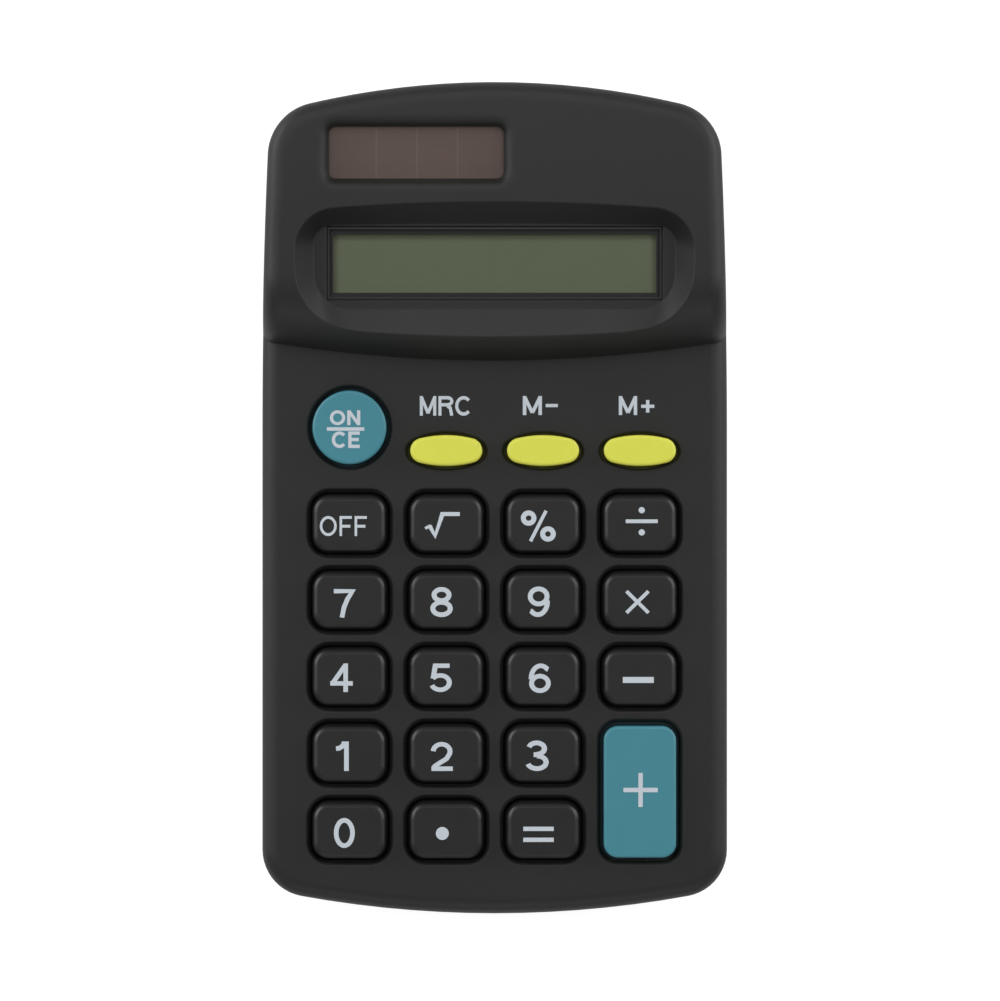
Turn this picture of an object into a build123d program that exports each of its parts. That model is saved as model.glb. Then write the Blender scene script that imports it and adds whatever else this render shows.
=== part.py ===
"""Pocket calculator with a raised display hood, solar strip, 23 sprung keys and one AA cell.

Millimetres. The back rests on Z = 0, +Z comes out of the keypad, +Y points to the display end
and +X to the right of someone reading the keys. The origin is the middle of the footprint.
"""

import os
from math import radians, sqrt, tan

from build123d import *

os.makedirs("parts", exist_ok=True)

# ---------------------------------------------------------------- driving dimensions
body_length = 116.0
body_width = 65.2
top_bow_radius = 112.0  # bowed display end
bottom_bow_radius = 152.0
top_corner_radius = 8.0
bottom_corner_radius = 6.8
shoulder_y = 10.0  # the sides start to draw in from here towards the display end
shoulder_x = 31.5

parting_z = 6.0  # rear housing below, front housing above
face_z = 12.5  # keypad face
crest_z = 20.0  # highest line of the hood
wall = 1.8  # side walls
roof = 1.6  # faces
side_draft = 2.5  # degrees
edge_round = 2.3

nose_y = 19.2  # where the hood meets the keypad on the centre line
nose_plan_radius = 193.0  # the hood's front edge is bowed in plan
nose_slope = 70.0  # degrees from the keypad face
nose_blend = 9.5
crown_end_z = 18.9

scoop_floor_z = 16.6
scoop_floor = (-25.0, 25.0, 26.2, 38.0)  # left, right, near and far edges of the flat floor
scoop_rim_z = 20.6
scoop_rim = (-27.9, 27.9, 11.8, 41.4)
window_size = (44.8, 8.2)
lens_size = (46.4, 10.2)
window_y = 32.55

solar_centre = (-10.8, 47.7)
solar_size = (24.1, 7.2)
solar_bevel = 0.8

# key grid
column_pitch = 13.44
row_pitch = 10.65
first_row_y = -3.43
columns = [(n - 1.5) * column_pitch for n in range(4)]
rows = [first_row_y - n * row_pitch for n in range(5)]
key_top_z = 13.8
key_foot_z = 10.1  # underside of the flange, on the rubber dome
flange_thickness = 0.75
key_travel = 0.9

key_size = (10.9, 8.6)  # at the flange
key_corner = 2.6
key_draft = 12.0
aperture_gap = 0.25  # aperture is larger than the key's foot all round
lip = 0.4  # eased edge of each aperture

flange_overhang = 0.7

round_key_radius = 5.3
round_key_at = (columns[0], 9.93)
oval_key_size = (10.75, 4.7)
oval_key_y = 6.69
tall_key_at = (columns[3], (rows[3] + rows[4]) / 2)
tall_key_size = (10.75, 19.05)

# inside
board_z = (6.0, 7.6)
sheet_z = (7.6, 8.6)
pill_z = (8.5, 9.0)
post_radius = 1.5
post_centres = [
    (-column_pitch, (rows[3] + rows[4]) / 2),
    (0.0, (rows[3] + rows[4]) / 2),
    (-column_pitch, (rows[1] + rows[2]) / 2),
    (column_pitch, (rows[1] + rows[2]) / 2),
    (-column_pitch, 14.2),
    (column_pitch, 14.2),
]
board_outline = (-29.0, 29.0, -51.0, 24.0)
boss_centres = [(-27.3, 31.0), (27.3, 31.0), (-column_pitch, -52.5), (column_pitch, -52.5)]
boss_radius = 2.0
screw_radius = 0.9
floor = 1.8  # back
rear_draft = 8.0

cell_radius = 7.25  # AA cell
cell_length = 50.5
cell_at = (1.0, 45.5, 9.15)
door_half = 27.2
door_y = 36.6
door_z = (0.25, 1.75)
door_gap = 0.2
tongue = 1.1
door_travel = 23.0


# ---------------------------------------------------------------- shared profiles
def case_outline(z, inset=0.0):
    """Plan of the case at height z, with bowed ends and sides that draw in at the display end."""
    x, half = body_width / 2 - inset, body_length / 2 - inset
    top_bow, low_bow = top_bow_radius - inset, bottom_bow_radius - inset
    end_x = shoulder_x - inset
    top_y = half - top_bow + sqrt(top_bow**2 - end_x**2)
    low_y = -half + low_bow - sqrt(low_bow**2 - x**2)
    with BuildSketch(Plane.XY.offset(z)) as plan:
        with BuildLine():
            ThreePointArc((-x, low_y), (0, -half), (x, low_y))
            Line((x, low_y), (x, shoulder_y))
            TangentArc((x, shoulder_y), (end_x, top_y), tangent=(0, 1))
            ThreePointArc((end_x, top_y), (0, half), (-end_x, top_y))
            TangentArc((-x, shoulder_y), (-end_x, top_y), tangent=(0, 1))
            Line((-x, shoulder_y), (-x, low_y))
        make_face()
        fillet(plan.vertices().group_by(Axis.Y)[0], bottom_corner_radius - inset)
        fillet(plan.vertices().group_by(Axis.Y)[-1], top_corner_radius - inset)
    return plan.sketch


def hood_section(inset=0.0):
    """Side profile of the hood, turned about an upright axis so that its nose is bowed in plan."""
    axis_y = nose_y + nose_plan_radius
    lean = 1 / tan(radians(nose_slope))
    crown = crest_z - inset
    nose = nose_plan_radius - inset * 1.06
    side = Plane(origin=(0, axis_y, 0), x_dir=(1, 0, 0), z_dir=(0, -1, 0))
    with BuildSketch(side) as section:
        with BuildLine():
            foot = (nose + (face_z - parting_z + 2) * lean, parting_z - 2)
            peak = (nose - (crown - 0.25 - face_z) * lean, crown - 0.25)
            far = (axis_y - body_length / 2 - 3, crown_end_z - inset)
            Line(foot, peak)
            ThreePointArc(peak, (axis_y - 38.0, crown), far)
            Line(far, (far[0], parting_z - 2))
            Line((far[0], parting_z - 2), foot)
        make_face()
        apex = section.vertices().sort_by_distance(side.from_local_coords(peak))[0]
        fillet(apex, nose_blend - inset)
    return section.sketch


def hood_axis():
    return Axis((0, nose_y + nose_plan_radius, 0), (0, 0, 1))


def scoop_plan(z, box, near_radius, far_radius, bow):
    """Outline of the display dish at height z: bowed far side, wide near corners."""
    left, right, near, far = box
    with BuildSketch(Plane.XY.offset(z)) as plan:
        with BuildLine():
            Line((left, far - bow), (left, near))
            Line((left, near), (right, near))
            Line((right, near), (right, far - bow))
            ThreePointArc((right, far - bow), (0, far), (left, far - bow))
        make_face()
        fillet(plan.vertices().group_by(Axis.Y)[0], near_radius)
        fillet(plan.vertices().group_by(Axis.Y)[-1], far_radius)
    return plan.sketch


def dish_form(grow=0.0, drop=0.0):
    """The dish as a solid, grown all round by grow and lowered by drop."""
    left, right, near, far = scoop_floor
    floor_box = (left - grow, right + grow, near - grow, far + grow)
    left, right, near, far = scoop_rim
    rim_box = (left - grow, right + grow, near - grow, far + grow)
    with BuildPart() as dish:
        floor_plan = scoop_plan(scoop_floor_z - drop, floor_box, 5.0, 2.5, 0.3)
        rim_plan = scoop_plan(scoop_rim_z, rim_box, 21.0, 6.5, 1.6)
        loft([floor_plan, rim_plan], ruled=True)
    return dish.part


def oval_sketch(z, width, height):
    """Oval key outline: two bowed long sides joined by round ends."""
    bow = 2.1 * height
    tip = sqrt(bow**2 - (bow - height / 2) ** 2)
    half = width / 2
    end = (bow**2 - (bow - height / 2) ** 2 - half**2) / (2 * (bow - half))
    with BuildSketch(Plane.XY.offset(z)) as plan:
        with BuildLine():
            ThreePointArc((-tip, 0), (0, -height / 2), (tip, 0))
            ThreePointArc((tip, 0), (0, height / 2), (-tip, 0))
        make_face()
        fillet(plan.vertices(), end)
    return plan.sketch


# every key: name, shape, centre, size at its foot, corner radius, draft, gap and aperture lip
key_names = [
    ["off", "root", "percent", "divide"],
    ["7", "8", "9", "multiply"],
    ["4", "5", "6", "minus"],
    ["1", "2", "3", None],
    ["0", "point", "equals", None],
]
round_size = (2 * round_key_radius, 2 * round_key_radius)
keys = [("on_ce", "round", round_key_at, round_size, 0, 0.0, 0.3, 0.35)]
for name, x in zip(("mrc", "m_minus", "m_plus"), columns[1:]):
    keys.append((name, "oval", (x, oval_key_y), oval_key_size, 0, 1.0, 0.18, 0.25))
for row, y in zip(key_names, rows):
    for name, x in zip(row, columns):
        if name:
            keys.append((name, "block", (x, y), key_size, key_corner, key_draft, 0.25, 0.35))
keys.append(("plus", "block", tall_key_at, tall_key_size, 2.2, 3.5, 0.25, 0.35))


def key_outline(z, shape, at, size, corner, grow=0.0):
    """Outline of one key at height z, or of its aperture when grown."""
    width, height = size[0] + 2 * grow, size[1] + 2 * grow
    with BuildSketch(Plane.XY.offset(z)) as plan:
        with Locations(at):
            if shape == "round":
                Circle(width / 2)
            elif shape == "block":
                RectangleRounded(width, height, corner + grow)
            else:
                add(oval_sketch(0, width, height))
    return plan.sketch


# ---------------------------------------------------------------- front housing
with BuildPart() as slab_form:
    extrude(case_outline(parting_z), amount=face_z - parting_z, taper=side_draft)
    fillet(slab_form.faces().sort_by(Axis.Z)[-1].edges(), edge_round)

with BuildPart() as hood_form:
    extrude(case_outline(parting_z), amount=crest_z + 2 - parting_z, taper=side_draft)
    revolve(hood_section(), axis=hood_axis(), mode=Mode.INTERSECT)
    rim = hood_form.edges().filter_by(
        lambda e: e.bounding_box().max.Z > parting_z + 0.01
        and not (e.bounding_box().size.X > 50 and e.center().Y < 50)
        and not (e.bounding_box().size.Z > 8 and e.center().Y > 40)
    )
    fillet(rim, edge_round)

with BuildPart() as hood_cavity:
    extrude(case_outline(parting_z - 0.1, wall), amount=crest_z - parting_z, taper=side_draft)
    revolve(hood_section(roof), axis=hood_axis(), mode=Mode.INTERSECT)
    add(dish_form(1.6, 2.0), mode=Mode.SUBTRACT)
    with Locations((solar_centre[0], solar_centre[1], 19.0)):
        Box(30, 12.4, 2.4, mode=Mode.SUBTRACT)

with BuildPart() as front_case:
    add(slab_form.part)
    add(hood_form.part)
    extrude(
        case_outline(parting_z - 0.1, wall),
        amount=face_z - roof - parting_z + 0.1,
        taper=side_draft,
        mode=Mode.SUBTRACT,
    )
    add(hood_cavity.part, mode=Mode.SUBTRACT)
    # screw bosses and board posts hang from the face
    with BuildSketch(Plane.XY.offset(parting_z + 0.05)):
        with Locations(boss_centres[2:]):
            RegularPolygon(boss_radius, 8)
    extrude(amount=face_z - roof - parting_z)
    with BuildSketch(Plane.XY.offset(parting_z + 0.05)):
        with Locations(boss_centres[:2]):
            RegularPolygon(boss_radius, 8)
    extrude(amount=12.0)
    with BuildSketch(Plane.XY.offset(board_z[1])):
        with Locations(post_centres):
            RegularPolygon(post_radius, 8)
    extrude(amount=face_z - roof - board_z[1] + 0.2)
    # display dish, the pocket that the lens sits in and the opening behind it
    add(dish_form(), mode=Mode.SUBTRACT)
    with Locations((0, window_y, scoop_floor_z)):
        Box(lens_size[0], lens_size[1], 1.6, mode=Mode.SUBTRACT)
        Box(window_size[0], window_size[1], 5.0, mode=Mode.SUBTRACT)
    # solar opening with a bevelled edge
    with BuildSketch(Plane.XY.offset(18.4)):
        with Locations(solar_centre):
            RectangleRounded(solar_size[0], solar_size[1], 1.0)
    extrude(amount=2.4, taper=-31, mode=Mode.SUBTRACT)
    with BuildSketch(Plane.XY.offset(17.0)):
        with Locations(solar_centre):
            RectangleRounded(solar_size[0], solar_size[1], 1.0)
    extrude(amount=1.6, mode=Mode.SUBTRACT)
    # key apertures
    for name, shape, at, size, corner, draft_angle, gap, ease in keys:
        extrude(
            key_outline(face_z - 2.0, shape, at, size, corner, gap),
            amount=2.5,
            mode=Mode.SUBTRACT,
        )
        eased = front_case.edges(Select.LAST).filter_by(
            lambda e: abs(e.center().Z - face_z) < 0.001 and e.bounding_box().size.Z < 0.001
        )
        chamfer(eased, ease)
    # pilot holes for the screws
    with BuildSketch(Plane.XY.offset(parting_z - 1)):
        with Locations(boss_centres):
            RegularPolygon(screw_radius + 0.03, 8)
    extrude(amount=5.4, mode=Mode.SUBTRACT)
    with BuildSketch(Plane.XY.offset(parting_z)):
        with Locations(post_centres):
            RegularPolygon(0.73, 8)
    extrude(amount=4.2, mode=Mode.SUBTRACT)

front_case.part.label = "front_case"
export_step(front_case.part, "parts/front_case.step")

# ---------------------------------------------------------------- rear housing
with BuildPart() as rear_form:
    extrude(case_outline(parting_z), amount=-parting_z, taper=rear_draft)
    fillet(rear_form.faces().sort_by(Axis.Z)[0].edges(), 1.5)

rib_left = (-28.4, -27.4)
rib_right = (26.65, 27.85)

with BuildPart() as rear_case:
    add(rear_form.part)
    extrude(
        case_outline(parting_z + 0.05, wall),
        amount=-(parting_z - floor) - 0.05,
        taper=rear_draft,
        mode=Mode.SUBTRACT,
    )
    # ledge and lip that locate inside the front housing
    with BuildSketch(Plane.XY.offset(4.4)):
        add(case_outline(0, wall - 0.7))
        add(case_outline(0, wall + 0.95), mode=Mode.SUBTRACT)
    extrude(amount=1.6)
    with BuildSketch(Plane.XY.offset(6.0)):
        add(case_outline(0, wall + 0.12))
        add(case_outline(0, wall + 0.95), mode=Mode.SUBTRACT)
    extrude(amount=1.0)
    # screw bosses
    with BuildSketch(Plane.XY.offset(floor - 0.3)):
        with Locations(boss_centres):
            RegularPolygon(boss_radius, 8)
    extrude(amount=parting_z - floor + 0.3)
    # battery bay: near wall, end ribs and runners for the door
    with Locations((0, door_y + 0.6, (floor + 7.5) / 2)):
        Box(56.8, 1.2, 7.5 - floor + 0.2)
    for left, right in (rib_left, rib_right):
        with Locations(((left + right) / 2, 44.1, (floor + 11.5) / 2)):
            Box(right - left, 11.0, 11.5 - floor + 0.2)
    for side in (-1, 1):
        with Locations((side * 28.75, 44.6, 2.4)):
            Box(2.7, 16.4, 1.6)
    with Locations((0, door_y - 1.0, 2.2)):
        Box(16.0, 3.2, 1.6)
    # opening for the door, out through the display end, with a groove at each side
    with Locations((0, door_y + 15 - door_gap, 0.9)):
        Box(2 * (door_half + door_gap), 30, 1.9, mode=Mode.SUBTRACT)
    with Locations((0, door_y + 15 - door_gap, 1.4)):
        Box(2 * (door_half + tongue + door_gap), 30, 0.9, mode=Mode.SUBTRACT)
    with Locations((0, door_y - 0.7, 1.4)):
        Box(12.4, 1.8, 0.9, mode=Mode.SUBTRACT)
    with Locations((0, 45.5, 4.0)):
        Box(2 * door_half - 0.8, 14.9, 5.0, mode=Mode.SUBTRACT)
    # screw holes from the back
    with BuildSketch(Plane.XY.offset(0.5)):
        with Locations(boss_centres):
            RegularPolygon(screw_radius + 0.15, 8)
    extrude(amount=6.5, mode=Mode.SUBTRACT)
    with Locations([(x, y, 0.6) for x, y in boss_centres]):
        Cylinder(1.75, 1.2, mode=Mode.SUBTRACT)

rear_case.part.label = "rear_case"
export_step(rear_case.part, "parts/rear_case.step")

with BuildPart() as battery_door:
    add(rear_form.part)
    with Locations((0, door_y + 15, (door_z[0] + door_z[1]) / 2)):
        Box(2 * door_half, 30, door_z[1] - door_z[0], mode=Mode.INTERSECT)
    with Locations((0, 44.6, 1.4)):
        Box(2 * (door_half + tongue), 13.0, 0.7)
    with Locations((0, door_y - 0.4, 1.4)):
        Box(12.0, 1.8, 0.7)
    # finger grip
    with Locations([(0, 43.0 + n * 1.5, door_z[0]) for n in range(5)]):
        Box(14.0, 0.7, 0.6, mode=Mode.SUBTRACT)

battery_door.part.label = "battery_door"
export_step(battery_door.part, "parts/battery_door.step")

# ---------------------------------------------------------------- display
lens_z = (scoop_floor_z - 0.8, scoop_floor_z - 0.1)
with BuildPart() as display_lens:
    with Locations((0, window_y, (lens_z[0] + lens_z[1]) / 2)):
        Box(lens_size[0] - 0.2, lens_size[1] - 0.2, lens_z[1] - lens_z[0])
    chamfer(display_lens.faces().sort_by(Axis.Z)[-1].edges(), 0.2)

display_lens.part.label = "display_lens"
export_step(display_lens.part, "parts/display_lens.step")

glass_top = scoop_floor_z - 2.0
with BuildPart() as lcd_glass:
    with Locations((0, 33.25, glass_top - 0.4)):
        Box(48.6, 9.7, 0.8)
    with Locations((0, 32.15, glass_top - 1.2)):
        Box(48.6, 11.9, 0.8)

lcd_glass.part.label = "lcd_glass"
export_step(lcd_glass.part, "parts/lcd_glass.step")

with BuildPart() as lcd_reflector:
    with Locations((0, window_y, glass_top - 1.7)):
        Box(47.0, 10.2, 0.2)

lcd_reflector.part.label = "lcd_reflector"
export_step(lcd_reflector.part, "parts/lcd_reflector.step")

with BuildPart() as lcd_holder:
    with Locations((0, 31.9, glass_top - 2.55)):
        Box(50.2, 12.6, 1.5)
        Box(43.0, 7.4, 1.5, mode=Mode.SUBTRACT)
    for side in (-1, 1):
        with Locations((side * 24.75, 31.9, glass_top - 1.65)):
            Box(0.7, 6.0, 3.3)

lcd_holder.part.label = "lcd_holder"
export_step(lcd_holder.part, "parts/lcd_holder.step")

ribbon_z = glass_top - 0.8 + 0.075
with BuildPart() as lcd_ribbon:
    with BuildSketch(Plane.YZ) as ribbon_side:
        with BuildLine():
            FilletPolyline(
                (28.2, ribbon_z),
                (24.4, ribbon_z),
                (23.0, board_z[1] + 0.075),
                (18.4, board_z[1] + 0.075),
                radius=1.2,
            )
        trace(line_width=0.15)
    extrude(amount=19.0, both=True)

lcd_ribbon.part.label = "lcd_ribbon"
export_step(lcd_ribbon.part, "parts/lcd_ribbon.step")

with BuildPart() as solar_panel:
    with Locations((solar_centre[0], solar_centre[1], 17.3)):
        Box(solar_size[0] + 2.7, solar_size[1] + 2.6, 1.0)

solar_panel.part.label = "solar_panel"
export_step(solar_panel.part, "parts/solar_panel.step")

# ---------------------------------------------------------------- circuit board and rubber sheet
with BuildPart() as circuit_board:
    left, right, near, far = board_outline
    with BuildSketch(Plane.XY.offset(board_z[0])):
        with Locations(((left + right) / 2, (near + far) / 2)):
            RectangleRounded(right - left, far - near, 4.0)
        with Locations(boss_centres[2:]):
            RegularPolygon(boss_radius + 0.4, 8, mode=Mode.SUBTRACT)
        with Locations(post_centres):
            RegularPolygon(0.85, 8, mode=Mode.SUBTRACT)
    extrude(amount=board_z[1] - board_z[0])

circuit_board.part.label = "circuit_board"
export_step(circuit_board.part, "parts/circuit_board.step")

with BuildPart() as rubber_dome_mat:
    with BuildSketch(Plane.XY.offset(sheet_z[0])):
        with Locations((0, -16.8)):
            RectangleRounded(55.0, 67.6, 3.0)
        with Locations(boss_centres[2:]):
            RegularPolygon(boss_radius + 0.4, 8, mode=Mode.SUBTRACT)
        with Locations(post_centres):
            RegularPolygon(post_radius + 0.4, 8, mode=Mode.SUBTRACT)
    extrude(amount=sheet_z[1] - sheet_z[0])
    centres = [at for _, _, at, *_ in keys]
    with BuildSketch(Plane.XY.offset(sheet_z[1])):
        with Locations(centres):
            RegularPolygon(2.3, 8)
    extrude(amount=key_foot_z - sheet_z[1], taper=18)
    with BuildSketch(Plane.XY.offset(sheet_z[0])):
        with Locations(centres):
            RegularPolygon(1.9, 8)
    extrude(amount=pill_z[1] - sheet_z[0], taper=12, mode=Mode.SUBTRACT)

rubber_dome_mat.part.label = "rubber_dome_mat"
export_step(rubber_dome_mat.part, "parts/rubber_dome_mat.step")

with BuildPart() as carbon_pills:
    with BuildSketch(Plane.XY.offset(pill_z[0])):
        with Locations(centres):
            RegularPolygon(1.2, 8)
    extrude(amount=pill_z[1] - pill_z[0])

carbon_pills.part.label = "carbon_pills"
export_step(carbon_pills.part, "parts/carbon_pills.step")

with BuildPart() as chip_cover:
    with BuildSketch(Plane.XY.offset(board_z[0])):
        with Locations((2.0, -30.0)):
            RegularPolygon(5.0, 12)
    extrude(amount=-1.5, taper=40)
    chamfer(chip_cover.faces().sort_by(Axis.Z)[0].edges(), 0.6)

chip_cover.part.label = "chip_cover"
export_step(chip_cover.part, "parts/chip_cover.step")

with BuildPart() as capacitor:
    with BuildSketch(Plane.YZ.offset(-9.0)):
        with Locations((18.0, 3.95)):
            Circle(1.9)
    extrude(amount=6.0)
    with Locations([(-8.4, 17.2, 5.3), (-8.4, 18.8, 5.3)]):
        Box(0.4, 0.4, 1.4)

capacitor.part.label = "capacitor"
export_step(capacitor.part, "parts/capacitor.step")

# ---------------------------------------------------------------- battery and contacts
cell_left, cell_right = cell_at[0] - cell_length / 2, cell_at[0] + cell_length / 2
with BuildPart() as aa_cell:
    with BuildSketch(Plane.YZ.offset(cell_left)):
        with Locations((cell_at[1], cell_at[2])):
            Circle(cell_radius)
    extrude(amount=cell_length - 1.0)
    chamfer(aa_cell.edges().filter_by(GeomType.CIRCLE), 0.5)
    with BuildSketch(Plane.YZ.offset(cell_right - 1.0)):
        with Locations((cell_at[1], cell_at[2])):
            Circle(2.6)
    extrude(amount=1.0)

aa_cell.part.label = "aa_cell"
export_step(aa_cell.part, "parts/aa_cell.step")

with BuildPart() as battery_plate_contact:
    with Locations((cell_right + 0.2, 45.0, 7.6)):
        Box(0.4, 8.0, 9.2)
    with Locations((cell_right + 0.2, 38.6, 8.75)):
        Box(0.4, 5.2, 1.5)

battery_plate_contact.part.label = "battery_plate_contact"
export_step(battery_plate_contact.part, "parts/battery_plate_contact.step")

with BuildPart() as battery_spring_contact:
    with Locations((rib_left[1] + 0.2, 45.0, 7.6)):
        Box(0.4, 8.0, 9.2)
    with Locations((rib_left[1] + 0.2, 38.6, 8.75)):
        Box(0.4, 5.2, 1.5)
    with BuildLine():
        coil = Helix(
            pitch=0.85,
            height=cell_left - rib_left[1] - 0.4 - 0.55,
            radius=3.4,
            center=(rib_left[1] + 0.55, cell_at[1], cell_at[2]),
            direction=(1, 0, 0),
            cone_angle=-25,
        )
    with BuildSketch(Plane(origin=coil @ 0, z_dir=coil % 0)):
        Rectangle(0.5, 0.5)
    sweep(is_frenet=True)

battery_spring_contact.part.label = "battery_spring_contact"
export_step(battery_spring_contact.part, "parts/battery_spring_contact.step")

# ---------------------------------------------------------------- leads
leads = {
    "battery_lead_red": (0.5, [
        (cell_right + 0.2, 36.0, 8.75), (cell_right + 0.2, 34.2, 8.75), (23.4, 30.6, 8.6),
        (23.0, 25.6, 8.4), (22.4, 22.6, 8.1), (22.4, 20.4, 8.1),
    ]),
    "battery_lead_black": (0.5, [
        (rib_left[1] + 0.2, 36.0, 8.75), (rib_left[1] + 0.2, 34.8, 8.75), (-23.2, 30.8, 8.6),
        (-23.0, 25.6, 8.4), (-22.4, 22.6, 8.1), (-22.4, 20.4, 8.1),
    ]),
    "solar_lead_red": (0.4, [
        (-24.2, 44.2, 17.3), (-27.2, 44.2, 17.3), (-29.1, 41.4, 14.6), (-29.1, 37.0, 10.8),
        (-24.6, 34.6, 10.3), (-20.8, 28.6, 10.2), (-20.2, 24.6, 8.4), (-20.2, 21.0, 8.0),
    ]),
    "solar_lead_black": (0.4, [
        (2.6, 43.6, 17.3), (5.0, 43.6, 17.3), (8.5, 42.3, 17.2), (23.0, 42.3, 17.2),
        (27.8, 41.6, 15.8), (28.8, 37.2, 10.7), (24.6, 34.7, 10.3), (20.8, 28.6, 10.2),
        (20.2, 24.6, 8.4), (20.2, 21.0, 8.0),
    ]),
}
for name, (radius, route) in leads.items():
    with BuildPart() as lead:
        with BuildLine():
            path = Polyline(*route)
        with BuildSketch(Plane(origin=path @ 0, z_dir=Vector(route[1]) - Vector(route[0]))):
            RegularPolygon(radius, 6)
        sweep(transition=Transition.RIGHT)
    lead.part.label = name
    export_step(lead.part, f"parts/{name}.step")

# ---------------------------------------------------------------- screws
with BuildPart() as case_screws:
    with Locations([(x, y, 0.7) for x, y in boss_centres]):
        Cylinder(1.55, 1.0)
    with BuildSketch(Plane.XY.offset(1.1)):
        with Locations(boss_centres):
            RegularPolygon(screw_radius, 8)
    extrude(amount=8.8)

case_screws.part.label = "case_screws"
export_step(case_screws.part, "parts/case_screws.step")

with BuildPart() as board_screws:
    for radius, low, high in ((1.4, -1.0, 0.0), (0.7, -0.1, 3.9)):
        with BuildSketch(Plane.XY.offset(board_z[0] + low)):
            with Locations(post_centres):
                RegularPolygon(radius, 8)
        extrude(amount=high - low)

board_screws.part.label = "board_screws"
export_step(board_screws.part, "parts/board_screws.step")

# ---------------------------------------------------------------- keys
for name, shape, at, size, corner, draft_angle, gap, ease in keys:
    with BuildPart() as cap:
        with BuildSketch(Plane.XY.offset(key_foot_z)) as flange:
            with Locations(at):
                Rectangle(size[0] + 2 * flange_overhang, size[1] + 2 * flange_overhang - 0.2)
            chamfer(flange.vertices(), {"round": 3.4, "block": 2.5, "oval": 1.4}[shape])
        extrude(amount=flange_thickness)
        foot = key_foot_z + flange_thickness
        extrude(
            key_outline(foot, shape, at, size, corner),
            amount=key_top_z - foot,
            taper=draft_angle,
        )
        chamfer(cap.faces().sort_by(Axis.Z)[-1].edges(), 0.35)
    cap.part.label = f"key_{name}"
    export_step(cap.part, f"parts/key_{name}.step")
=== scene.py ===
import math

import bmesh
import bpy
from mathutils import Matrix, Vector


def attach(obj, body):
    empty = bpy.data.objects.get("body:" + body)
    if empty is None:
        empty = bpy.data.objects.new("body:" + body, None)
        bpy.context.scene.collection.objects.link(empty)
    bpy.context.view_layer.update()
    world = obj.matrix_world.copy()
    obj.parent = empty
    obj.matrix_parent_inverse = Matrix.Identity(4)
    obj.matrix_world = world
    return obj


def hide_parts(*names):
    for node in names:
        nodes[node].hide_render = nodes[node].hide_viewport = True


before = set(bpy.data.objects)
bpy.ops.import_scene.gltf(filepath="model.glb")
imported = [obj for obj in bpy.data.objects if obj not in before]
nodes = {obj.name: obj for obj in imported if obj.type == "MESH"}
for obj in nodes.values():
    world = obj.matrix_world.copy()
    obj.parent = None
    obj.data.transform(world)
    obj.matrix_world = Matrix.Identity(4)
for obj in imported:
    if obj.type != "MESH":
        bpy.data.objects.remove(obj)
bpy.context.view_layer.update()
MM = 0.001

# ------------------------------------------------------------------ sizes shared with the solids, mm
column_pitch = 13.44
columns = [(n - 1.5) * column_pitch for n in range(4)]
parting_z = 6.0
face_z = 12.5
key_top_z = 13.8
flange_z = (10.1, 10.85)
window_y = 32.55
cell_x = 1.0
boss_centres = [(-27.3, 31.0), (27.3, 31.0), (-column_pitch, -52.5), (column_pitch, -52.5)]

# ------------------------------------------------------------------ camera
# a long lens straight above the calculator, as for a catalogue page
camera_place = (0.00074, -0.00021, 0.6)
bpy.ops.object.camera_add(location=camera_place, rotation=(0, 0, 0))
camera = bpy.context.object
camera.name = "catalogue_camera"
camera.data.lens = 152
camera.data.sensor_width = 36
camera.data.clip_start = 0.05
camera.data.clip_end = 20
bpy.context.scene.camera = camera
bpy.context.scene.view_settings.view_transform = "Standard"


# ------------------------------------------------------------------ finishes
class Value:
    """One socket of a finish, so that sums on it are written as sums."""

    def __init__(self, finish, socket):
        self.finish = finish
        self.socket = socket

    def sum(self, operation, a, b=0.0, c=0.0):
        return self.finish.node("ShaderNodeMath", {"operation": operation}, {0: a, 1: b, 2: c})

    def __add__(self, other):
        return self.sum("ADD", self, other)

    __radd__ = __add__

    def __sub__(self, other):
        return self.sum("SUBTRACT", self, other)

    def __rsub__(self, other):
        return self.sum("SUBTRACT", other, self)

    def __mul__(self, other):
        return self.sum("MULTIPLY", self, other)

    __rmul__ = __mul__

    def __truediv__(self, other):
        return self.sum("DIVIDE", self, other)

    def __abs__(self):
        return self.sum("ABSOLUTE", self)

    def high(self, other):
        return self.sum("MAXIMUM", self, other)

    def ramp(self, start, end, first=0.0, last=1.0):
        """Goes from first to last as this value goes from start to end."""
        return self.finish.node(
            "ShaderNodeMapRange",
            {"interpolation_type": "SMOOTHSTEP"},
            {0: self, 1: start, 2: end, 3: first, 4: last},
        )


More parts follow.
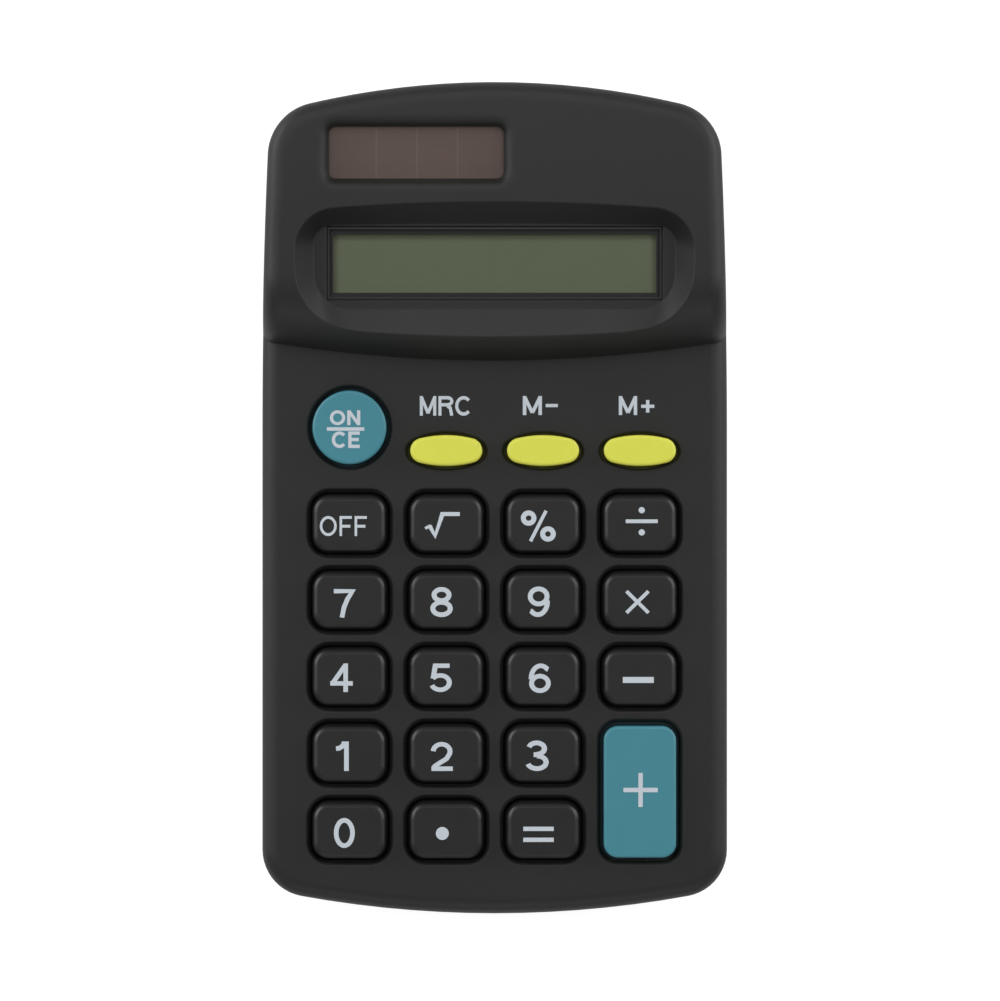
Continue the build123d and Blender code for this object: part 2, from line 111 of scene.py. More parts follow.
class Finish:
    """A named material with one Principled surface."""

    def __init__(self, name):
        self.material = bpy.data.materials.new(name)
        self.material.use_nodes = True
        self.tree = self.material.node_tree
        self.tree.nodes.clear()
        self.output = self.tree.nodes.new("ShaderNodeOutputMaterial")
        self.place = self.node("ShaderNodeTexCoord", outlet="Object")

    def node(self, kind, settings=None, values=None, outlet=0):
        """Adds a node: its settings first, then the values or links of its sockets."""
        made = self.tree.nodes.new(kind)
        for key, setting in (settings or {}).items():
            setattr(made, key, setting)
        for key, value in (values or {}).items():
            if isinstance(value, Value):
                self.tree.links.new(value.socket, made.inputs[key])
            else:
                made.inputs[key].default_value = value
        return Value(self, made.outputs[outlet])

    def noise(self, size, detail=2.0, roughness=0.5, stretch=None):
        """Cloudy noise whose lumps are about size millimetres across, drawn out by stretch."""
        where = self.place
        if stretch:
            multiply = {"operation": "MULTIPLY"}
            where = self.node("ShaderNodeVectorMath", multiply, {0: where, 1: stretch})
        return self.node(
            "ShaderNodeTexNoise",
            {"noise_dimensions": "3D"},
            {"Vector": where, "Scale": 1 / (size * MM), "Detail": detail, "Roughness": roughness},
        )

    def axis(self, name):
        """Where a point lies along X, Y or Z, in metres."""
        return self.node("ShaderNodeSeparateXYZ", values={0: self.place}, outlet=name)

    def mix(self, share, first, second):
        """From the first colour to the second, whose sockets on a Mix node are 6 and 7."""
        return self.node(
            "ShaderNodeMix",
            {"data_type": "RGBA", "clamp_factor": True},
            {0: share, 6: first, 7: second},
            outlet=2,
        )

    def tint(self, colour, share):
        """The colour made lighter or darker: share runs round 1."""
        return self.node(
            "ShaderNodeVectorMath", {"operation": "SCALE"}, {0: colour, "Scale": share}
        )

    def bump(self, height, depth, base=None):
        """Relief of depth millimetres."""
        values = {"Height": height, "Distance": depth * MM, "Strength": 1.0}
        if base is not None:
            values["Normal"] = base
        return self.node("ShaderNodeBump", values=values)

    def soft_edge(self, radius, samples=6):
        """Edges that look rounded by radius millimetres."""
        return self.node("ShaderNodeBevel", {"samples": samples}, {"Radius": radius * MM})

    def surface(self, **sockets):
        """Closes the finish. Names are the shader's sockets, with _ for a space."""
        values = {key.replace("_", " "): value for key, value in sockets.items()}
        shader = self.node("ShaderNodeBsdfPrincipled", values=values)
        self.tree.links.new(shader.socket, self.output.inputs["Surface"])
        return self.material


def moulded_black(name, tone, gloss, texture, edge, dish=0.0):
    """Black ABS: a fine spark-eroded texture, with a handled sheen that comes and goes.

    Edges look rounded by edge millimetres, and those of the display dish by dish.
    """
    f = Finish(name)
    cloud = f.noise(18, 3)
    speckle = f.noise(0.35, 2)
    pits = f.noise(texture, 3, 0.65)
    share = 1 + (cloud - 0.5) * 0.16 + (speckle - 0.5) * 0.22
    base = f.soft_edge(edge)
    if dish:
        # the display dish runs out into the hood in a wide soft cove
        above_keys = f.axis("Z").ramp(14.4 * MM, 15.2 * MM)
        before_solar_strip = f.axis("Y").ramp(42.2 * MM, 41.4 * MM, 1.0, 0.0)
        base = f.node(
            "ShaderNodeMix",
            {"data_type": "VECTOR"},
            {0: above_keys * before_solar_strip, 4: base, 5: f.soft_edge(dish, 8)},
            outlet=1,
        )
    # painted shade: the colour is darkened in a thin band along the parting line between the housings
    painted_seam_shade = abs(f.axis("Z") / MM - parting_z).ramp(0.03, 0.14, 0.35, 1.0)
    return f.surface(
        Base_Color=f.tint(tone, share * painted_seam_shade),
        Roughness=gloss + (f.noise(11, 2) - 0.5) * 0.12 + (pits - 0.5) * 0.10,
        Specular_IOR_Level=0.28,
        Normal=f.bump(pits, 0.012, base),
    )


def key_plastic(name, tone, gloss):
    """Keys: smoother plastic than the case, with softly rounded edges."""
    f = Finish(name)
    wear = f.noise(2.6, 2)
    pits = f.noise(0.16, 2)
    # painted shade: the colour darkens towards the foot of a key, where its slot would shade it
    painted_slot_shade = f.axis("Z").ramp(10.9 * MM, 12.7 * MM, 0.16, 1.0)
    share = (1 + (wear - 0.5) * 0.06 + (pits - 0.5) * 0.10) * painted_slot_shade
    return f.surface(
        Base_Color=f.tint(tone, share),
        Roughness=gloss + (wear - 0.5) * 0.08,
        Specular_IOR_Level=0.35,
        Normal=f.bump(pits, 0.0025, f.soft_edge(0.28)),
    )


def metal(name, tone, gloss):
    """Plated steel with fine drawing marks."""
    f = Finish(name)
    marks = f.noise(0.3, 3, 0.6, (1, 8, 8))
    return f.surface(
        Base_Color=f.tint(tone, 0.9 + marks * 0.2),
        Metallic=1.0,
        Roughness=gloss + (marks - 0.5) * 0.15,
        Normal=f.bump(marks, 0.006),
    )


def plain_plastic(name, tone, gloss, lumps=0.4, shade=0.1, relief=0.004):
    """Small inner mouldings, sleeves and printed ink."""
    f = Finish(name)
    lump = f.noise(lumps, 2)
    return f.surface(
        Base_Color=f.tint(tone, 1 + (lump - 0.5) * shade),
        Roughness=gloss + (lump - 0.5) * 0.1,
        Normal=f.bump(lump, relief),
    )


def lcd_finish():
    """Reflective twisted-nematic glass: grey-green polariser with a faint even grain."""
    f = Finish("lcd_polariser")
    grain = f.noise(0.25, 3)
    cloud = f.noise(14, 2)
    # the border of the glass outside the cell is darker
    across = abs(f.axis("X")) / MM
    share = 1 + (grain - 0.5) * 0.16 + (cloud - 0.5) * 0.08
    body = f.tint((0.235, 0.278, 0.160), share)
    rim = f.tint((0.045, 0.052, 0.036), share)
    return f.surface(
        Base_Color=f.mix(across.ramp(22.4, 23.2), body, rim),
        Roughness=0.42 + (grain - 0.5) * 0.1,
        Normal=f.bump(grain, 0.002),
    )


def solar_finish():
    """Amorphous silicon behind glass: brown strips with thin scribed lines between them."""
    f = Finish("solar_strips")
    along = f.axis("X") / MM
    grain = f.noise(0.3, 3)
    left, middle, right = (
        abs(along - x).ramp(0.05, 0.16, 1.0, 0.0) for x in (-16.3, -10.7, -5.1)
    )
    share = 1 + (grain - 0.5) * 0.16
    brown = f.tint((0.072, 0.047, 0.036), share)
    scribed = f.tint((0.088, 0.064, 0.053), share)
    return f.surface(
        Base_Color=f.mix(left.high(middle).high(right), brown, scribed),
        Roughness=0.38 + (grain - 0.5) * 0.12,
        Coat_Weight=0.12,
        Coat_Roughness=0.08,
        Normal=f.bump(grain, 0.002),
    )


def window_finish():
    """Clear acrylic: dark and nearly invisible face on, reflecting at a glance."""
    f = Finish("window_acrylic")
    glance = f.node("ShaderNodeFresnel", values={"IOR": 1.49})
    haze = f.noise(9, 2)
    return f.surface(
        Base_Color=(0.02, 0.02, 0.02, 1),
        Roughness=0.06 + haze * 0.05,
        Alpha=0.05 + glance * 0.9,
        Normal=f.bump(haze, 0.01),
    )


def sleeve_finish():
    """Dry cell: a plain printed sleeve between bare steel ends."""
    f = Finish("cell_sleeve")
    along = abs(f.axis("X") / MM - cell_x)
    wrap = f.noise(0.6, 2)
    ends = along.ramp(24.0, 24.1)
    share = 1 + (wrap - 0.5) * 0.08
    sleeve = f.tint((0.05, 0.10, 0.16), share)
    steel = f.tint((0.6, 0.6, 0.6), share)
    return f.surface(
        Base_Color=f.mix(ends, sleeve, steel),
        Metallic=ends,
        Roughness=0.34 + (wrap - 0.5) * 0.1,
        Normal=f.bump(wrap, 0.004),
    )


finishes = {
    "front_case": moulded_black("case_front_abs", (0.0112, 0.0115, 0.0110), 0.50, 0.20, 0.3, 1.7),
    "rear_case": moulded_black("case_rear_abs", (0.0112, 0.0116, 0.0112), 0.56, 0.26, 0.2),
    "battery_door": moulded_black("battery_door_abs", (0.0110, 0.0114, 0.0110), 0.55, 0.26, 0.15),
    "display_lens": window_finish(),
    "lcd_glass": lcd_finish(),
    "lcd_reflector": metal("reflector_foil", (0.6, 0.62, 0.6), 0.35),
    "lcd_holder": plain_plastic("holder_plastic", (0.55, 0.55, 0.53), 0.5),
    "lcd_ribbon": plain_plastic("heat_seal_ribbon", (0.16, 0.13, 0.08), 0.45),
    "solar_panel": solar_finish(),
    "circuit_board": plain_plastic("board_phenolic", (0.12, 0.16, 0.05), 0.5, 0.8, 0.2),
    "rubber_dome_mat": plain_plastic("silicone_mat", (0.28, 0.29, 0.29), 0.55, 0.5, 0.1),
    "carbon_pills": plain_plastic("carbon_pills_black", (0.012, 0.012, 0.012), 0.6),
    "chip_cover": plain_plastic("epoxy_glob", (0.01, 0.01, 0.01), 0.2, 1.2),
    "capacitor": plain_plastic("capacitor_sleeve", (0.02, 0.03, 0.08), 0.35),
    "aa_cell": sleeve_finish(),
    "battery_spring_contact": metal("spring_wire", (0.55, 0.54, 0.52), 0.28),
    "battery_plate_contact": metal("contact_plate", (0.58, 0.57, 0.55), 0.25),
    "battery_lead_red": plain_plastic("lead_red_pvc", (0.45, 0.03, 0.02), 0.4),
    "battery_lead_black": plain_plastic("lead_black_pvc", (0.02, 0.02, 0.02), 0.4),
    "case_screws": metal("case_screw_zinc", (0.42, 0.42, 0.43), 0.34),
    "board_screws": metal("board_screw_zinc", (0.42, 0.42, 0.43), 0.36),
}
finishes["solar_lead_red"] = finishes["battery_lead_red"]
finishes["solar_lead_black"] = finishes["battery_lead_black"]

key_black = key_plastic("key_black", (0.0085, 0.0088, 0.0085), 0.42)
key_teal = key_plastic("key_teal", (0.043, 0.182, 0.226), 0.36)
key_yellow = key_plastic("key_yellow", (0.548, 0.556, 0.066), 0.36)
ink_white = plain_plastic("legend_ink", (0.42, 0.46, 0.50), 0.5, 0.2, 0.12, 0.002)
for node in nodes:
    if node.startswith("key_"):
        finishes[node] = key_black
finishes["key_on_ce"] = finishes["key_plus"] = key_teal
for node in ("key_mrc", "key_m_minus", "key_m_plus"):
    finishes[node] = key_yellow
for node, piece in nodes.items():
    for place in piece.material_slots:
        place.material = finishes[node]


# ------------------------------------------------------------------ coloured key caps
def drawn_piece(mesh, name, finish):
    """The object that a drawn mesh becomes, with one finish."""
    piece = bpy.data.objects.new(name, bpy.data.meshes.new(name))
    mesh.to_mesh(piece.data)
    mesh.free()
    bpy.context.scene.collection.objects.link(piece)
    piece.data.materials.append(finish)
    return piece


def shell(name, rings, finish):
    """A closed shell through rings of points that all have the same count, bottom ring first."""
    mesh = bmesh.new()
    rows = [[mesh.verts.new(Vector(point) * MM) for point in ring] for ring in rings]
    count = len(rows[0])
    for low, high in zip(rows, rows[1:]):
        for k in range(count):
            m = (k + 1) % count
            mesh.faces.new((low[k], low[m], high[m], high[k]))
    mesh.faces.new(list(reversed(rows[0])))
    mesh.faces.new(rows[-1])
    return drawn_piece(mesh, name, finish)


def round_outline(inset, radius=5.12, steps=72):
    """Outline of the round key about its middle, drawn inwards by inset."""
    turns = [math.tau * k / steps for k in range(steps)]
    return [((radius - inset) * math.cos(t), (radius - inset) * math.sin(t)) for t in turns]


def tall_outline(inset, half_width=5.02, half_height=9.12, corner=2.0, steps=12):
    """Outline of the tall key: a rectangle with round corners."""
    points = []
    for quarter, (sx, sy) in enumerate(((1, 1), (-1, 1), (-1, -1), (1, -1))):
        for k in range(steps + 1):
            t = math.radians(90 * (quarter + k / steps))
            x = sx * (half_width - corner) + (corner - inset) * math.cos(t)
            y = sy * (half_height - corner) + (corner - inset) * math.sin(t)
            points.append((x, y))
    return points


def oval_outline(inset, end_at=3.25, end_radius=1.75, side_radius=15.15, half_height=2.15):
    """Outline of a memory key: long bowed sides that run into round ends."""
    lean = math.asin(end_at / (side_radius - end_radius))
    bow = side_radius - inset
    end = end_radius - inset
    points = []
    for side in (1, -1):
        # one bowed side, then the round end that follows it anticlockwise
        for k in range(17):
            t = math.pi / 2 - lean + 2 * lean * k / 16
            y = bow * math.sin(t) - side_radius + half_height
            points.append((side * bow * math.cos(t), side * y))
        for k in range(1, 20):
            t = math.pi / 2 + lean + (math.pi - 2 * lean) * k / 20
            points.append((side * (end * math.cos(t) - end_at), side * end * math.sin(t)))
    return points


def key_cap(node, outline, at, finish, crown, overhang=0.55):
    """A key: flange under the case, straight sides and a top edge rounded by crown millimetres."""
    steps = [(z, -overhang) for z in flange_z]
    steps += [(flange_z[1], 0.0), (face_z - 0.1, 0.0)]
    for k in range(7):
        t = math.radians(15 * k)
        steps.append((key_top_z - crown + crown * math.sin(t), crown * (1 - math.cos(t))))
    rings = [[(at[0] + x, at[1] + y, z) for x, y in outline(inset)] for z, inset in steps]
    cap = shell(f"cap_{node}", rings, finish)
    for face in cap.data.polygons:
        face.use_smooth = 0.02 < abs(face.normal.z) < 0.999
    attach(cap, node)
    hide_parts(node)


for x, node in zip(columns[1:], ("key_mrc", "key_m_minus", "key_m_plus")):
    key_cap(node, oval_outline, (x, 6.72), key_yellow, 0.4)
key_cap("key_on_ce", round_outline, (columns[0], 9.93), key_teal, 0.35)
key_cap("key_plus", tall_outline, (columns[3], -40.65), key_teal, 0.35)


# ------------------------------------------------------------------ window pane
def slab(name, size, centre, low, high):
    """A rectangular pane, in mm, as a mesh at its place."""
    bpy.ops.object.select_all(action="DESELECT")
    bpy.ops.mesh.primitive_cube_add(size=1)
    piece = bpy.context.object
    piece.name = piece.data.name = name
    for v in piece.data.vertices:
        v.co = (
            (centre[0] + v.co.x * size[0]) * MM,
            (centre[1] + v.co.y * size[1]) * MM,
            (low + (v.co.z + 0.5) * (high - low)) * MM,
        )
    return piece


pane_low, pane_high = 15.8, 16.5
pane = slab("window_pane", (46.2, 10.0), (0, window_y), pane_low, pane_high)
bpy.ops.object.mode_set(mode="EDIT")
bpy.ops.mesh.select_all(action="DESELECT")
bpy.ops.object.mode_set(mode="OBJECT")
for edge in pane.data.edges:
    heights = [pane.data.vertices[v].co.z for v in edge.vertices]
    edge.select = min(heights) > (pane_high - 0.1) * MM
bpy.ops.object.mode_set(mode="EDIT")
bpy.ops.mesh.select_mode(type="EDGE")
bpy.ops.mesh.bevel(offset=0.28 * MM, segments=1)
bpy.ops.object.mode_set(mode="OBJECT")
sawn_edge = plain_plastic("window_sawn_edge", (0.060, 0.061, 0.060), 0.45, 0.3, 0.2)
pane.data.materials.append(finishes["display_lens"])
pane.data.materials.append(sawn_edge)
for face in pane.data.polygons:
    face.material_index = 1 if 0.2 < face.normal.z < 0.98 else 0
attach(pane, "case")
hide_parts("display_lens")

# a black border is printed round the pane, just above its inner face
border_z = pane_low + 0.01
border = bmesh.new()
outer, inner = (
    [
        border.verts.new(Vector((sx * width / 2, window_y + sy * depth / 2, border_z)) * MM)
        for sx, sy in ((-1, -1), (1, -1), (1, 1), (-1, 1))
    ]
    for width, depth in ((46.0, 9.8), (44.7, 8.1))
)
for k in range(4):
    m = (k + 1) % 4
    border.faces.new((outer[k], outer[m], inner[m], inner[k]))
border_ink = plain_plastic("border_ink_black", (0.008, 0.008, 0.008), 0.5, 0.3, 0.1)
border_print = drawn_piece(border, "window_border_print", border_ink)
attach(border_print, "case")


# ------------------------------------------------------------------ case screws
def rod(radius, low, high, sides):
    """An upright cylinder on the origin's axis, in mm, as a mesh at its place."""
    bpy.ops.object.select_all(action="DESELECT")
    bpy.ops.mesh.primitive_cylinder_add(
        vertices=sides,
        radius=radius * MM,
        depth=(high - low) * MM,
        location=(0, 0, (low + high) / 2 * MM),
    )
    bpy.ops.object.transform_apply(location=True)
    return bpy.context.object


def cross_screw():
    """A cross-head screw with its shank, whose head faces the back."""
    head = rod(1.55, 0.2, 1.2, 40)
    blades = []
    for turn in (0, math.pi / 2):
        bpy.ops.mesh.primitive_cube_add(size=1, location=(0, 0, 0.2 * MM), rotation=(0, 0, turn))
        blade = bpy.context.object
        blade.scale = (1.9 * MM, 0.34 * MM, 1.0 * MM)
        bpy.ops.object.transform_apply(location=True, rotation=True, scale=True)
        blades.append(blade)
    for blade in blades:
        recess = head.modifiers.new("recess", "BOOLEAN")
        recess.operation = "DIFFERENCE"
        recess.solver = "EXACT"
        recess.object = blade
        bpy.context.view_layer.objects.active = head
        bpy.ops.object.modifier_apply(modifier=recess.name)
    for blade in blades:
        bpy.data.objects.remove(blade)
    rod(0.88, 1.15, 9.85, 24)
    head.select_set(True)
    bpy.context.view_layer.objects.active = head
    bpy.ops.object.join()
    head.data.materials.clear()
    head.data.materials.append(finishes["case_screws"])
    return head


pattern = cross_screw()
for number, (x, y) in enumerate(boss_centres, 1):
    name = f"case_screw_{number}"
    screw = bpy.data.objects.new(name, pattern.data.copy())
    screw.data.name = name
    screw.data.transform(Matrix.Translation((x * MM, y * MM, 0)))
    bpy.context.scene.collection.objects.link(screw)
    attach(screw, "case")
    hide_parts("case_screws")
bpy.data.objects.remove(pattern)


# ------------------------------------------------------------------ printed legends
# Each glyph is drawn with a pen in a box that is 1 high, and then set to its own size.
tiny = 1e-6


def arc(cx, cy, rx, ry, start, end, steps):
    """Points on an oval, in degrees anticlockwise from the right."""
    turn = math.radians(end - start)
    return [
        (
            cx + rx * math.cos(math.radians(start) + turn * k / steps),
            cy + ry * math.sin(math.radians(start) + turn * k / steps),
        )
        for k in range(steps + 1)
    ]


def next_coat(mesh):
    """Each stroke lies 3 microns above the one before, as ink does where strokes cross."""
    return 0.000003 * len({round(v.co.z, 7) for v in mesh.verts})


def stroke(mesh, points, pen):
    """A flat ribbon of pen width along the points, with mitred corners and square ends.

    It closes on itself where the points end at their start.
    """
    coat = next_coat(mesh)
    line = [Vector(p) for p in points]
    line = [here for k, here in enumerate(line) if k == 0 or (here - line[k - 1]).length > tiny]
    closed = (line[0] - line[-1]).length < tiny
    if closed:
        line.pop()
    count = len(line)
    left, right = [], []
    for k, here in enumerate(line):
        arriving = (here - line[k - 1]).normalized() if k or closed else None
        leaving = None
        if k < count - 1 or closed:
            leaving = (line[(k + 1) % count] - here).normalized()
        arriving, leaving = arriving or leaving, leaving or arriving
        across = Vector((-arriving.y, arriving.x))
        middle = (across + Vector((-leaving.y, leaving.x))).normalized()
        # a sharp corner is cut short, so that its mitre stays near the pen's width
        reach = pen / 2 / max(middle.dot(across), 0.6)
        left.append(mesh.verts.new((*(here + middle * reach), coat)))
        right.append(mesh.verts.new((*(here - middle * reach), coat)))
    for k in range(count if closed else count - 1):
        m = (k + 1) % count
        mesh.faces.new((right[k], right[m], left[m], left[k]))


def disc(mesh, cx, cy, radius):
    """A filled dot."""
    coat = next_coat(mesh)
    rim = arc(cx, cy, radius, radius, 0, 360, 28)[:-1]
    mesh.faces.new([mesh.verts.new((x, y, coat)) for x, y in rim])


def glyphs(pen):
    """The width and strokes of each glyph. Their points lie on the middle of the pen's line."""
    half = pen / 2
    top = 1 - half

    def bend(cx, cy, rx, ry, start, end, steps):
        """An arc whose ink ends at the radii rx and ry."""
        return arc(cx, cy, rx - half, ry - half, start, end, steps)

    return {
        "0": (0.70, [bend(0.35, 0.5, 0.35, 0.5, 0, 360, 36)]),
        "1": (
            0.42,
            [
                [(0.0, 0.76), (0.10, 0.77), (0.20, 0.83), (0.262, 0.93), (0.262, 1.0)],
                [(0.342, 0), (0.342, 1)],
            ],
        ),
        "2": (
            0.70,
            [
                bend(0.345, 0.675, 0.345, 0.325, 178, -28, 18)
                + [(0.50, 0.42), (0.26, 0.26), (0.13, 0.165), (0.09, half)],
                [(0.02, half), (0.70, half)],
            ],
        ),
        "3": (
            0.70,
            [
                bend(0.34, 0.735, 0.31, 0.265, 165, -90, 20),
                bend(0.35, 0.285, 0.35, 0.285, 90, -165, 20),
                [(0.25, 0.535), (0.36, 0.535)],
            ],
        ),
        "4": (
            0.76,
            [
                [(0.52, 0), (0.52, 1.0)],
                [(0.50, 0.93), (0.08, 0.31)],
                [(0.0, 0.30), (0.76, 0.30)],
            ],
        ),
        "5": (
            0.70,
            [
                [(0.63, top), (0.14, top)],
                [(0.20, 0.99), (0.125, 0.47)],
                bend(0.345, 0.33, 0.355, 0.33, 146, -158, 24),
            ],
        ),
        "6": (
            0.70,
            [
                bend(0.355, 0.325, 0.345, 0.325, 0, 360, 32),
                bend(0.38, 0.50, 0.38, 0.50, 185, 48, 16) + [(0.62, 0.80)],
            ],
        ),
        "7": (0.70, [[(0.0, top), (0.62, top), (0.46, 0.66), (0.34, 0.36), (0.27, 0.0)]]),
        "8": (
            0.70,
            [
                bend(0.35, 0.735, 0.31, 0.265, 0, 360, 28),
                bend(0.35, 0.285, 0.35, 0.285, 0, 360, 30),
            ],
        ),
        "9": (
            0.70,
            [
                bend(0.345, 0.675, 0.345, 0.325, 0, 360, 32),
                bend(0.32, 0.50, 0.38, 0.50, 5, -132, 16) + [(0.08, 0.20)],
            ],
        ),
        "O": (0.94, [bend(0.47, 0.5, 0.47, 0.5, 0, 360, 40)]),
        "F": (0.68, [[(half, 0), (half, top), (0.68, top)], [(half, 0.49), (0.60, 0.49)]]),
        "N": (
            0.80,
            [
                [(half, 0), (half, 1)],
                [(half, 0.97), (0.80 - half, 0.03)],
                [(0.80 - half, 0), (0.80 - half, 1)],
            ],
        ),
        "C": (0.88, [bend(0.47, 0.5, 0.47, 0.5, 42, 318, 32)]),
        "E": (
            0.70,
            [
                [(0.70, top), (half, top), (half, half), (0.70, half)],
                [(half, 0.51), (0.64, 0.51)],
            ],
        ),
        "M": (
            0.92,
            [
                [(half, 0), (half, 1)],
                [(0.92 - half, 0), (0.92 - half, 1)],
                [(half, 0.96), (0.46, 0.12)],
                [(0.46, 0.12), (0.92 - half, 0.96)],
            ],
        ),
        "R": (
            0.82,
            [
                [(half, 0), (half, 1)],
                [(half, top), (0.50, top)]
                + bend(0.50, 0.735, 0.25 + half, 0.265, 90, -90, 14)
                + [(half, 0.47 + half)],
                [(0.50, 0.49), (0.66, 0.40), (0.70, 0.22), (0.75, 0.0)],
            ],
        ),
        "-": (0.62, [[(0.04, 0.5), (0.62, 0.5)]]),
        "+": (0.66, [[(0.0, 0.46), (0.66, 0.46)], [(0.33, 0.13), (0.33, 0.79)]]),
    }


def write(text, pen, gap=0.0):
    """Draws a word, one glyph beside the other."""
    shapes = glyphs(pen)

    def draw(mesh):
        x = 0.0
        for letter in text:
            width, strokes = shapes[letter]
            for points in strokes:
                stroke(mesh, [(px + x, py) for px, py in points], pen)
            x += width + gap

    return draw


def legend(name, body, z, centre, size, draw):
    """A print just above the surface at height z, stretched to a box of that centre and size, in mm."""
    mesh = bmesh.new()
    draw(mesh)
    low = [min(v.co[i] for v in mesh.verts) for i in (0, 1)]
    high = [max(v.co[i] for v in mesh.verts) for i in (0, 1)]
    for v in mesh.verts:
        for i in (0, 1):
            share = (v.co[i] - low[i]) / (high[i] - low[i]) - 0.5
            v.co[i] = (centre[i] + share * size[i]) * MM
        v.co.z += (z + 0.02) * MM
    piece = drawn_piece(mesh, name, ink_white)
    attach(piece, body)


def root_sign(mesh):
    stroke(mesh, [(0.0, 0.34), (0.20, 0.46)], 0.11)
    stroke(mesh, [(0.16, 0.45), (0.36, 0.05), (0.62, 0.92), (1.25, 0.92)], 0.16)


def percent_sign(mesh):
    for x, y in ((0.24, 0.76), (0.86, 0.24)):
        stroke(mesh, arc(x, y, 0.17, 0.17, 0, 360, 28), 0.16)
    stroke(mesh, [(0.80, 1.0), (0.30, 0.0)], 0.11)


def divide_sign(mesh):
    stroke(mesh, [(0, 0.5), (1.12, 0.5)], 0.13)
    for y in (0.11, 0.89):
        disc(mesh, 0.56, y, 0.11)


def multiply_sign(mesh):
    stroke(mesh, [(0.07, 0.07), (0.93, 0.93)], 0.14)
    stroke(mesh, [(0.07, 0.93), (0.93, 0.07)], 0.14)


def minus_sign(mesh):
    stroke(mesh, [(0, 0), (1, 0)], 0.2)


def equals_sign(mesh):
    for y in (0.0, 0.38):
        stroke(mesh, [(0, y), (1, y)], 0.15)


def plus_sign(mesh):
    stroke(mesh, [(0, 0.5), (1, 0.5)], 0.13)
    stroke(mesh, [(0.5, 0), (0.5, 1)], 0.13)


def point_sign(mesh):
    disc(mesh, 0.5, 0.5, 0.5)


digit_pen = 0.155
for digit, centre, size in (
    ("7", (-20.78, -14.49), (3.05, 4.02)),
    ("8", (-7.37, -14.29), (3.12, 4.16)),
    ("9", (6.12, -14.25), (3.05, 4.23)),
    ("4", (-21.24, -24.79), (3.12, 3.95)),
    ("5", (-7.47, -24.79), (3.05, 3.95)),
    ("6", (6.26, -24.86), (3.05, 4.09)),
    ("1", (-21.13, -35.68), (1.80, 4.09)),
    ("2", (-7.33, -35.71), (3.05, 4.02)),
    ("3", (5.91, -35.61), (3.19, 4.23)),
    ("0", (-20.85, -46.32), (2.91, 4.16)),
):
    draw = write(digit, digit_pen)
    legend(f"legend_{digit}", f"key_{digit}", key_top_z, centre, size, draw)
for name, centre, size, draw in (
    ("root", (-7.29, -3.68), (4.91, 3.74), root_sign),
    ("percent", (6.05, -3.75), (4.85, 4.44), percent_sign),
    ("divide", (20.40, -3.09), (4.44, 3.95), divide_sign),
    ("multiply", (19.81, -14.29), (3.40, 3.33), multiply_sign),
    ("minus", (19.92, -25.10), (4.30, 0.83), minus_sign),
    ("equals", (6.08, -46.51), (4.23, 2.12), equals_sign),
    ("point", (-7.26, -46.39), (1.80, 1.80), point_sign),
    ("plus", (20.24, -40.36), (4.77, 4.72), plus_sign),
):
    legend(f"legend_{name}", f"key_{name}", key_top_z, centre, size, draw)
for name, body, z, centre, size, draw in (
    ("off", "key_off", key_top_z, (-20.99, -3.75), (6.52, 2.77), write("OFF", 0.14, 0.16)),
    ("on", "key_on_ce", key_top_z, (-20.75, 11.27), (4.23, 2.15), write("ON", 0.20, 0.12)),
    ("on_ce_bar", "key_on_ce", key_top_z, (-20.68, 9.71), (5.20, 0.48), minus_sign),
    ("ce", "key_on_ce", key_top_z, (-20.65, 8.22), (3.88, 2.30), write("CE", 0.20, 0.12)),
    ("mrc", "case", face_z, (-6.93, 12.92), (6.95, 2.78), write("MRC", 0.17, 0.12)),
    ("m_minus", "case", face_z, (6.34, 12.99), (4.86, 2.64), write("M-", 0.17, 0.14)),
    ("m_plus", "case", face_z, (19.72, 12.99), (4.93, 2.64), write("M+", 0.17, 0.20)),
):
    legend(f"legend_{name}", body, z, centre, size, draw)


# ------------------------------------------------------------------ studio
def shader(tree, kind, values):
    """A shader node with plain values."""
    made = tree.nodes.new(kind)
    for key, value in values.items():
        made.inputs[key].default_value = value
    return made


def camera_sees(tree, seen, otherwise, output):
    """The camera's own rays meet one shader, and all others meet the second."""
    path = tree.nodes.new("ShaderNodeLightPath")
    switch = tree.nodes.new("ShaderNodeMixShader")
    tree.links.new(path.outputs["Is Camera Ray"], switch.inputs[0])
    tree.links.new(otherwise.outputs[0], switch.inputs[1])
    tree.links.new(seen.outputs[0], switch.inputs[2])
    tree.links.new(switch.outputs[0], tree.nodes.new(output).inputs["Surface"])


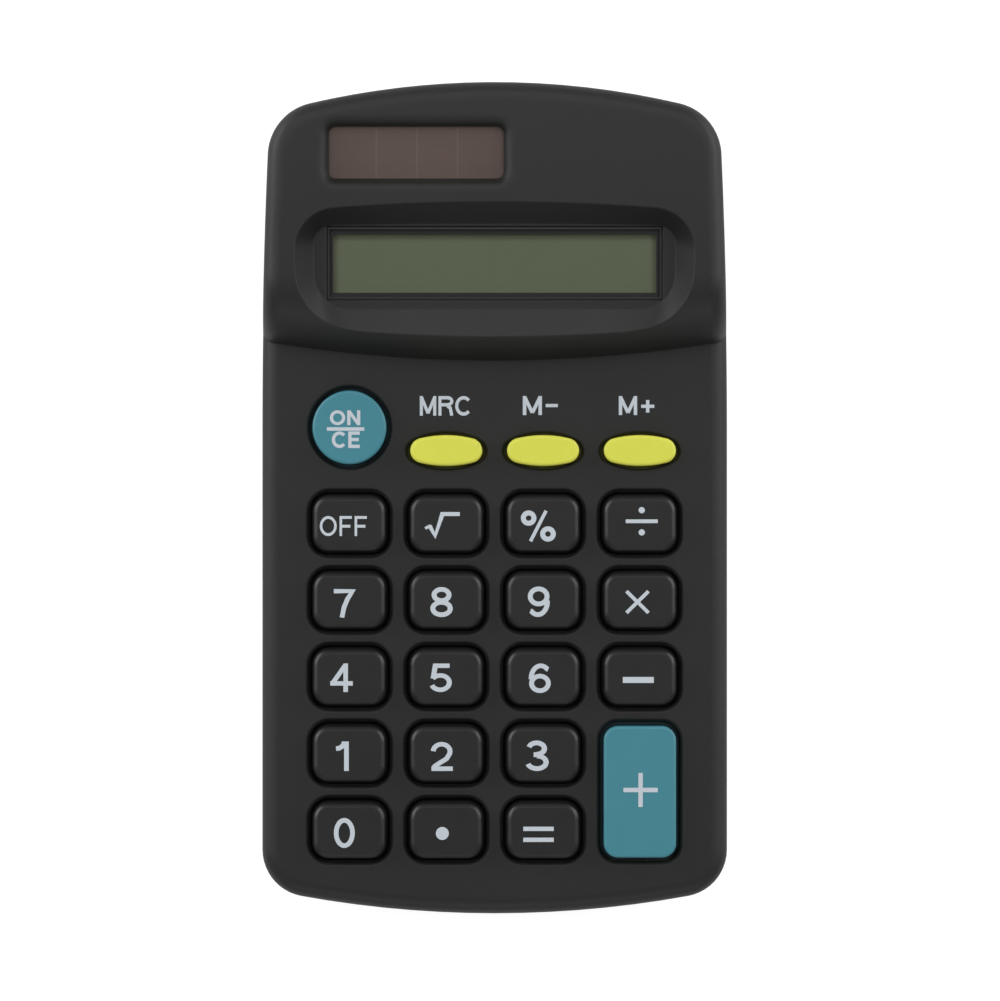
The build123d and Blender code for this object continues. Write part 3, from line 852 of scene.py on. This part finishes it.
bpy.ops.mesh.primitive_plane_add(size=6, location=(0, 0, -0.02 * MM))
floor = bpy.context.object
floor.name = "studio_floor"
paper = bpy.data.materials.new("studio_floor_white")
paper.use_nodes = True
sheet = paper.node_tree
sheet.nodes.clear()
# to the camera the floor glows white, with a pale surface that keeps the shadow
glow = shader(sheet, "ShaderNodeEmission", {"Strength": 0.85})
shaded = shader(sheet, "ShaderNodeBsdfDiffuse", {"Color": (0.30, 0.30, 0.30, 1)})
glowing = sheet.nodes.new("ShaderNodeAddShader")
sheet.links.new(glow.outputs[0], glowing.inputs[0])
sheet.links.new(shaded.outputs[0], glowing.inputs[1])
card = shader(sheet, "ShaderNodeBsdfDiffuse", {"Color": (0.8, 0.8, 0.8, 1)})
camera_sees(sheet, glowing, card, "ShaderNodeOutputMaterial")
floor.data.materials.append(paper)

world = bpy.data.worlds.new("studio_world")
bpy.context.scene.world = world
world.use_nodes = True
sky = world.node_tree
sky.nodes.clear()
white = (1, 1, 1, 1)
backdrop = shader(sky, "ShaderNodeBackground", {"Color": white, "Strength": 1.0})
room_light = shader(sky, "ShaderNodeBackground", {"Color": white, "Strength": 0.24})
camera_sees(sky, backdrop, room_light, "ShaderNodeOutputWorld")


def softbox(name, place, aim, size, power):
    """An area lamp at place, in metres, that faces aim."""
    bpy.ops.object.light_add(type="AREA", location=place)
    lamp = bpy.context.object
    lamp.name = name
    lamp.data.shape = "RECTANGLE"
    lamp.data.size, lamp.data.size_y = size
    lamp.data.energy = power
    lamp.rotation_euler = (Vector(aim) - Vector(place)).to_track_quat("-Z", "Y").to_euler()


softbox("softbox_top", (0, 0.62, 0.85), (0, 0, 0), (1.0, 0.45), 3.8)
softbox("softbox_left", (-0.62, 0.1, 0.72), (0, 0, 0), (0.35, 0.8), 2.4)
softbox("softbox_right", (0.62, 0.1, 0.72), (0, 0, 0), (0.35, 0.8), 2.4)
softbox("strip_left", (-0.85, 0.40, 0.24), (0, 0, 0.01), (0.8, 0.3), 6.0)
softbox("strip_right", (0.85, 0.40, 0.24), (0, 0, 0.01), (0.8, 0.3), 5.2)
softbox("softbox_front", (0, -0.75, 0.45), (0, 0, 0), (0.9, 0.35), 1.9)
